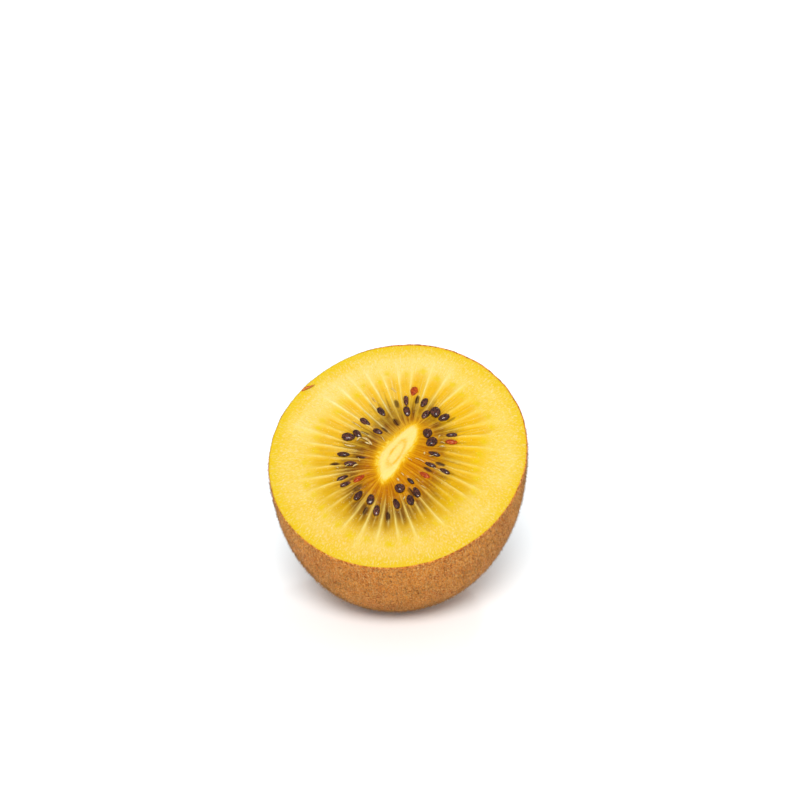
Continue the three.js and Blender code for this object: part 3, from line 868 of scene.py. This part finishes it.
shred_material, start, feed = new_material("torn_fibre", {
    "Subsurface Weight": 0.3, "Subsurface Radius": (1, 0.7, 0.3), "Subsurface Scale": 0.0006, "IOR": 1.36,
})
spot = start.place()
shade = start.noise(spot, 2.2, 2)
feed("Base Color", shade.between(0.35, 0.65).mix("D2A850", "F2D898"))
feed("Roughness", shade * 0.2 + 0.25)
widths = SHREDS[:, 5]
first, last = (np.insert(SHREDS[:, k : k + 2], 2, SHRED_LIFT, axis=1) for k in (0, 2))
sideways = np.column_stack([first[:, 1] - last[:, 1], last[:, 0] - first[:, 0]])
bows = np.column_stack([to_unit(sideways) * SHREDS[:, 4:5], SHRED_ARCH[0] + SHRED_ARCH[1] * widths])
points, faces = strand_points(first, last, bows, widths, 0.5 * widths)
fibres = make_piece("torn_fibres", shred_material, placed(points), faces)

# The sliver of skin
#
# A narrow shaving of peel that the knife pulled loose at the upper left of the rim. It still hangs
# together in two strands and lies over the edge.
SLIVER_WIDTHS, SLIVER_THICKNESSES = np.array([0.62, 0.3]), np.array([0.2, 0.12])
sliver_material, start, feed = new_material("skin_sliver", {"Specular IOR Level": 0.3})
spot = start.place()
shade = start.noise(spot, 2.4, 3)
feed("Base Color", shade.between(0.35, 0.65).mix("C2560A", "E88C2C"))
feed("Roughness", shade * 0.2 + 0.4)
first = np.array([[-19.75, 13.4, -0.1], [-18.6, 14.2, 0.1]])
last = np.array([[-17.6, 14.5, 0.25], [-17.1, 14.9, 0.35]])
bows = np.array([[-0.1, 0.15, 0.25], [0.0, -0.1, 0.2]])
points, faces = strand_points(first, last, bows, SLIVER_WIDTHS, SLIVER_THICKNESSES)
sliver = make_piece("skin_sliver", sliver_material, placed(points), faces)

# The stem scar
#
# At the stem end the stalk broke away and left a hard round woody scar, with a sunken middle where
# the sap ran, in a collar of dark ragged bits of dried stalk.
SCAR_RADIUS, SCAR_HEIGHT, SCAR_PIT = 1.9, 0.9, 0.45
SCAR_TURNS, SCAR_RINGS = 96, 22
COLLAR_BITS = 46


def scar_points():
    """A low round table on the skin: its height is full out to 0.68 of a wavy radius and then eases
    down into the skin, less a pit in the middle, plus a sine wave from ring to ring and the random
    field. It is closed by a point inside the fruit."""
    angle = np.arange(SCAR_TURNS) / SCAR_TURNS * 2 * np.pi
    out, turn = np.meshgrid(np.linspace(0.04, 1.15, SCAR_RINGS), angle, indexing="ij")
    radius = SCAR_RADIUS * (1 + 0.06 * np.sin(3 * turn + 1) + 0.05 * np.sin(5 * turn))
    x, y = out * radius * np.cos(turn), out * radius * np.sin(turn)
    spot = np.stack([x, y, 0 * x], -1)
    rise = SCAR_HEIGHT * (1 - smooth(0.68, 1.05, out)) - SCAR_PIT * (1 - smooth(0.05, 0.4, out))
    rise = rise + 0.1 * field(spot, 0.4) + 0.05 * np.sin(out * 26) * smooth(0.2, 0.4, out)
    z = DIMPLE_DEPTH * (1 - smooth(0, DIMPLE_RADIUS, out * radius)) - DEPTH - rise
    top = np.array([[0, 0, z[0].mean()]])
    points = np.concatenate([top, np.stack([x, y, z], -1).reshape(-1, 3), [[0, 0, 1 - DEPTH]]])
    faces = [f[:, ::-1] for f in ring_faces(SCAR_RINGS, SCAR_TURNS)]
    return placed(points), faces, {"out": np.pad(out.ravel(), 1, mode="edge")}


scar_material, start, feed = new_material("stem_scar", {"Specular IOR Level": 0.2})
spot = start.place()
out = start.attribute("out")
grain = start.noise(spot, 3.0, 3, 0.6)
body = out.between(0.25, 0.8).mix("3E2412", "8A5E34").under([
    (grain.between(0.45, 0.7) * 0.6, "B08850"),
    (out.between(0.85, 1.05) * 0.8, "5A341A"),
])
feed("Base Color", body)
feed("Roughness", grain * 0.2 + 0.65)
feed("Normal", grain.bump(0.8, 0.0002))
scar = make_piece("stem_scar", scar_material, *scar_points())

collar_draw = np.random.default_rng(8)
turn = collar_draw.uniform(0, 2 * np.pi, COLLAR_BITS)
round_way = np.stack([np.cos(turn), np.sin(turn), 0 * turn], -1)
first = round_way * collar_draw.uniform(1.5, 2.1, (COLLAR_BITS, 1)) + [0, 0, DIMPLE_DEPTH - DEPTH + 0.1]
last = first + round_way * collar_draw.uniform(0.4, 1.3, (COLLAR_BITS, 1))
last += collar_draw.normal(0, 0.3, last.shape) + [0, 0, -0.55]
bows = collar_draw.normal(0, 0.12, last.shape)
widths = collar_draw.uniform(0.12, 0.4, COLLAR_BITS)
points, faces = strand_points(first, last, bows, widths, widths * 0.5)
collar_material, start, feed = new_material("dried_stalk", {"Specular IOR Level": 0.2})
spot = start.place()
feed("Base Color", start.noise(spot, 2.0, 2).between(0.35, 0.65).mix("2E1A0E", "7A4E28"))
feed("Roughness", start.noise(spot, 3.0) * 0.2 + 0.65)
collar = make_piece("scar_collar", collar_material, placed(points), faces)

# The fuzz
#
# Short stiff hairs that grow out of the skin all over and lie roughly towards the stem end, light
# tan with darker ones between. They are made in two pieces.
FUZZ_PIECES, HAIRS_A_PIECE = 2, 24000
HAIR_LONG, HAIR_THICK, HAIR_ROOT = (0.4, 0.95), 0.046, 0.12


def hair_points(count, seed):
    """Hairs as closed needles of four triangles: three corners round the root, HAIR_ROOT below the
    skin, and a tip. Roots are spread evenly over the skin's area, summed from the rim down. Each
    hair points along the skin in a direction drawn about the way to the stem end, plus a drawn
    share of the way out of the skin. Hairs that would go through the table are left out."""
    draw = np.random.default_rng(seed)
    falls = np.linspace(0.002, 0.998, 400)
    profile = skin_place(falls, 0 * falls)
    step = np.linalg.norm(np.gradient(profile, axis=0), axis=1)
    area = np.cumsum(np.hypot(profile[:, 0], profile[:, 1]) * step)
    fall = np.interp(draw.uniform(0, area[-1], count), area, falls)
    angle = draw.uniform(0, 2 * np.pi, count)
    root = skin_place(fall, angle)
    down = to_unit(skin_place(fall + 0.001, angle) - root)
    side = to_unit(skin_place(fall, angle + 0.001) - root)
    out = np.cross(down, side)
    out *= np.sign((out * root).sum(1, keepdims=True))
    swirl = draw.normal(0, 0.9, count)[:, None]
    lie = down * np.cos(swirl) + side * np.sin(swirl)
    way = to_unit(lie + out * np.clip(draw.normal(0.8, 0.5, count), 0.08, 2.5)[:, None])
    long = draw.uniform(*HAIR_LONG, count)[:, None]
    thick = HAIR_THICK * draw.uniform(0.7, 1.3, count)[:, None]
    across = to_unit(np.cross(way, out))
    over = np.cross(across, way)
    root = root - out * HAIR_ROOT
    corners = [root + thick * (across * np.cos(a) + over * np.sin(a)) for a in np.radians([90, 210, 330])]
    points = lean(np.stack([*corners, root + way * long], 1)) + set_down
    keep = (points[..., 2] > 0.01).all(1)
    points = points[keep]
    faces = repeat_faces([np.array([[0, 2, 1], [0, 1, 3], [1, 2, 3], [2, 0, 3]])], len(points), 4)
    tone = np.repeat(draw.uniform(0, 1, count)[keep], 4)
    return points.reshape(-1, 3), faces, {"tone": tone}


fuzz_material, start, feed = new_material("fuzz", {"Roughness": 0.5, "Specular IOR Level": 0.3})
tone = start.attribute("tone")
feed("Base Color", tone.node("ValToRGB", {"stops": [
    (0.0, colour("9C5A1E")), (0.35, colour("C07C32")), (0.7, colour("DEA24E")), (1.0, colour("F2C478")),
]}, {0: tone}))
for number in range(FUZZ_PIECES):
    fuzz = make_piece(f"fuzz_{number + 1}", fuzz_material, *hair_points(HAIRS_A_PIECE, 20 + number))

# The studio
#
# A wide white table that glows a little, in a white room whose walls are lighter than its ceiling.
# A wide soft lamp stands in front and above, and a small one high behind makes the glints.
TABLE_HALF, TABLE_DROP = 4.0, 2e-5  # metres
ROOM_LIGHT, CEILING_DIM = 1.08, 0.63
floor_mesh = bpy.data.meshes.new("table")
corners = [(x * TABLE_HALF, y * TABLE_HALF, -TABLE_DROP) for x, y in [(-1, -1), (1, -1), (1, 1), (-1, 1)]]
floor_mesh.from_pydata(corners, [], [(0, 1, 2, 3)])
floor = add_object("table", floor_mesh)
floor_material, start, feed = new_material("table", {
    "Base Color": (0.92, 0.96, 0.98, 1), "Roughness": 0.9, "Specular IOR Level": 0.0,
    "Emission Color": (1, 1, 1, 1), "Emission Strength": 0.05,
})
floor_mesh.materials.append(floor_material)
floor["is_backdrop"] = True

world = bpy.data.worlds.new("room")
world.use_nodes = True
background = world.node_tree.nodes["Background"]
start = Socket(world.node_tree)
height = start.node("SeparateXYZ", None, {0: start.node("TexCoord")}, 2)
light = ROOM_LIGHT - height.between(0.12, 0.4) * CEILING_DIM
world.node_tree.links.new(light.output, background.inputs["Strength"])
background.inputs["Color"].default_value = (1, 1, 1, 1)
bpy.context.scene.world = world
bpy.context.scene.view_settings.view_transform = "Standard"


def far_lamp(name, way, width, strength):
    """A round lamp so far off that it lights everything alike: it stands in the direction way and
    looks width degrees wide."""
    lamp = bpy.data.lights.new(name, "SUN")
    lamp.angle, lamp.energy = np.radians(width), strength
    holder = add_object(name, lamp)
    holder.rotation_euler = (np.arctan2(np.hypot(way[0], way[1]), way[2]), 0, np.arctan2(way[0], -way[1]))


far_lamp("front", (0.02, -0.76, 0.64), 20, 3.15)
far_lamp("back", (0.3, 0.5, 0.9), 7, 0.28)

# The camera, placed in mm from the middle of the core, looks down at the half a little from the
# right.
CAMERA_OFF = np.array([19.97, -331.49, 118.40])
CAMERA_TURN = np.radians([72, 0, 3.38])
camera_data = bpy.data.cameras.new("camera")
camera_data.lens, camera_data.sensor_width = 82.3, 36
camera = add_object("camera", camera_data)
camera.location = (placed(np.zeros(3)) + CAMERA_OFF) * MM
camera.rotation_euler = CAMERA_TURN
bpy.context.scene.camera = camera

low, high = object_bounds()
